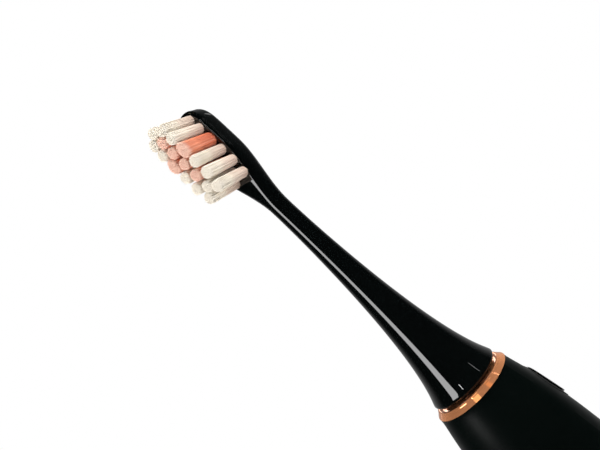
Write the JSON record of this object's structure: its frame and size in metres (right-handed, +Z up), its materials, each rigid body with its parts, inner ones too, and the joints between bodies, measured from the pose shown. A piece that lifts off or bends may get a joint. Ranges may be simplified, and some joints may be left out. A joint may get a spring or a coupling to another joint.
{
  "type": "electric toothbrush",
  "caption": "Black electric toothbrush with a rose-gold collar and tufted clip-on head, standing on a round inductive charger.",
  "frame": {"origin": "centre of the charger's rest face, on the table", "axes": "+Z up along the brush axis, the bristles point along -Y, the charger's cable entry faces +Y"},
  "size_m": [0.054, 0.054, 0.2586],
  "materials": {
    "soft_touch_black": "soft-touch paint over moulded plastic",
    "gloss_black": "polished moulding",
    "charger_plastic": "fine spark texture",
    "rose_gold": "polished rose-gold plating",
    "black_rubber": "matt silicone",
    "red_rubber": "matt silicone",
    "bristle_white": "fine nylon filaments",
    "bristle_pink": "fine nylon filaments",
    "copper_wire": "enamelled winding",
    "steel": "ground steel",
    "bronze": "sintered bronze",
    "magnet": "nickel-plated magnet",
    "core_iron": "bare laminated iron",
    "ferrite": "sintered ferrite",
    "board_green": "solder mask over glass fibre",
    "chip_black": "moulded epoxy",
    "nickel": "nickel strip",
    "cell_wrap": "shrink wrap over the can",
    "grey_foam": "closed-cell foam",
    "white_plastic": "moulded acetal",
    "grey_plastic": "moulded plastic",
    "motor_can": "turned aluminium",
    "smoke_lens": "smoked clear plastic",
    "led_white": "clear epoxy",
    "flex_amber": "polyimide flex",
    "lead_red": "varnished lead"
  },
  "bodies": {
    "charger": {"charger_shell": "gloss_black", "charger_base": "charger_plastic", "charger_foot_ring": "black_rubber", "charger_ferrite": "ferrite", "charger_coil": "copper_wire", "charger_board": "board_green", "charger_board_parts": "chip_black", "charger_screws": "steel", "cable_gland": "black_rubber"},
    "handle": {"handle_shell": "soft_touch_black", "bottom_cap": "soft_touch_black", "cap_seal": "red_rubber", "receive_bobbin": "white_plastic", "receive_coil": "copper_wire", "chassis": "grey_plastic", "battery_cell": "cell_wrap", "battery_tabs": "nickel", "battery_pad": "grey_foam", "main_board": "board_green", "board_parts": "chip_black", "board_screws": "steel", "switch_board": "board_green", "tact_switch": "nickel", "board_link": "flex_amber", "status_led": "led_white", "charge_lens": "smoke_lens", "motor_frame": "motor_can", "front_bearing": "bronze", "rear_bearing": "bronze", "stator_poles": "core_iron", "stator_coil": "copper_wire", "stator_leads": "lead_red", "collar_ring": "rose_gold", "shaft_seal": "black_rubber", "button_gasket": "black_rubber"},
    "button": {"power_button": "gloss_black"},
    "drive": {"drive_shaft": "steel", "rotor_core": "core_iron", "rotor_magnets": "magnet"},
    "brush_head": {"head_shell": "gloss_black", "head_socket": "white_plastic", "head_clip": "steel", "tufts_white": "bristle_white", "tufts_pink": "bristle_pink", "tuft_anchors": "bronze"}
  },
  "joints": [
    {"name": "lift_off", "type": "slide", "parent": "charger", "child": "handle", "axis": [0, 0, 1], "range_m": [0, 0.05]},
    {"name": "drive_swing", "type": "hinge", "parent": "handle", "child": "drive", "pos_m": [0, 0, 0.15], "axis": [0, 0, 1], "range_deg": [-5, 5], "stiffness_Nm_per_rad": 0.05},
    {"name": "head_pull", "type": "slide", "parent": "drive", "child": "brush_head", "axis": [0, 0, 1], "range_m": [0, 0.03]},
    {"name": "button_press", "type": "slide", "parent": "handle", "child": "button", "axis": [-0.7071, -0.7071, 0], "range_m": [0, 0.0005], "stiffness_N_per_m": 1500, "springref_m": -0.0003}
  ]
}
